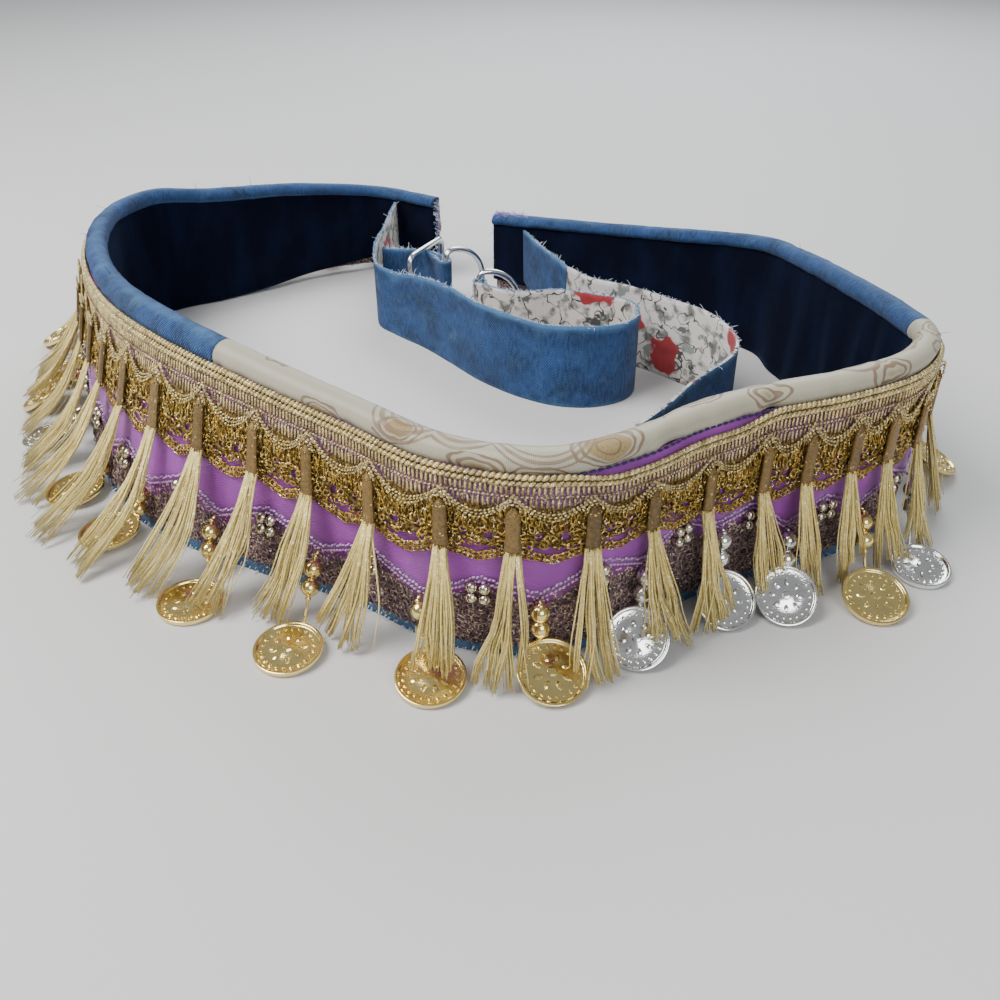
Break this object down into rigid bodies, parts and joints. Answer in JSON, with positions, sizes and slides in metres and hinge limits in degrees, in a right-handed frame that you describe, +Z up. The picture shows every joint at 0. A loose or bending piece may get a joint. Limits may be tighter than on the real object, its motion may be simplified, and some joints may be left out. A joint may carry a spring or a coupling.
{
  "type": "coin belt",
  "caption": "Stage-wear hip belt of padded denim trimmed with gold braid, tassels, beads and hanging coins, standing open on its lower edge with its tie straps inside.",
  "frame": {"origin": "middle of the outline in plan, on the surface that the belt stands on", "axes": "+Z up; -Y towards the belt's closed front; +Y towards its two open ends"},
  "size_m": [0.4488, 0.428, 0.084],
  "materials": {
    "denim": "woven cotton denim, blue, paler where worn",
    "velvet": "short-pile velvet, near-black navy",
    "brocade": "satin brocade, cream with pale gold scrolls",
    "lace": "crochet mesh of brown-gold metallic thread",
    "satin": "purple satin ribbon with a lilac edge cord",
    "gold_braid": "metallic gold braid, glittering",
    "tassel": "golden-beige silky thread with metallic strands",
    "gold_coin": "stamped thin metal, bright gold",
    "silver_coin": "stamped thin metal, bright silver",
    "print": "printed cotton, white with red and grey flowers",
    "steel": "plated round steel wire"
  },
  "bodies": {
    "root": {"binding_brocade_front": "brocade", "binding_denim_left": "denim", "binding_denim_right": "denim", "chain_edge": "gold_braid", "coin_drop_01": "gold_coin", "coin_drop_02": "silver_coin", "coin_drop_03": "gold_coin", "coin_drop_04": "gold_coin", "coin_drop_05": "silver_coin", "coin_drop_06": "gold_coin", "coin_drop_07": "gold_coin", "coin_drop_08": "gold_coin", "coin_drop_09": "silver_coin", "coin_drop_10": "gold_coin", "coin_drop_11": "gold_coin", "coin_drop_12": "gold_coin", "coin_drop_13": "gold_coin", "coin_drop_14": "gold_coin", "coin_drop_15": "gold_coin", "coin_drop_16": "silver_coin", "coin_drop_17": "silver_coin", "coin_drop_18": "silver_coin", "coin_drop_19": "gold_coin", "coin_drop_20": "silver_coin", "coin_drop_21": "gold_coin", "coin_drop_22": "gold_coin", "coin_drop_23": "silver_coin", "coin_drop_24": "gold_coin", "coin_drop_25": "gold_coin", "coin_drop_26": "silver_coin", "coin_drop_27": "gold_coin", "coin_drop_28": "gold_coin", "denim_outer": "denim", "fringe_1": "tassel", "fringe_2": "tassel", "fringe_3": "tassel", "fringe_4": "tassel", "fringe_5": "tassel", "fringe_6": "tassel", "fringe_7": "tassel", "gold_braid": "gold_braid", "lace_mesh": "lace", "ring_in_tab": "steel", "ring_on_strap": "steel", "ring_over_tab": "steel", "ring_tab": "denim", "satin_ribbon": "satin", "strap_left_root": "denim", "strap_loop_back": "print", "strap_loop_front": "denim", "strap_print_run": "print", "strap_return_run": "denim", "strap_right_root": "denim", "velvet_lining": "velvet"}
  },
  "joints": []
}
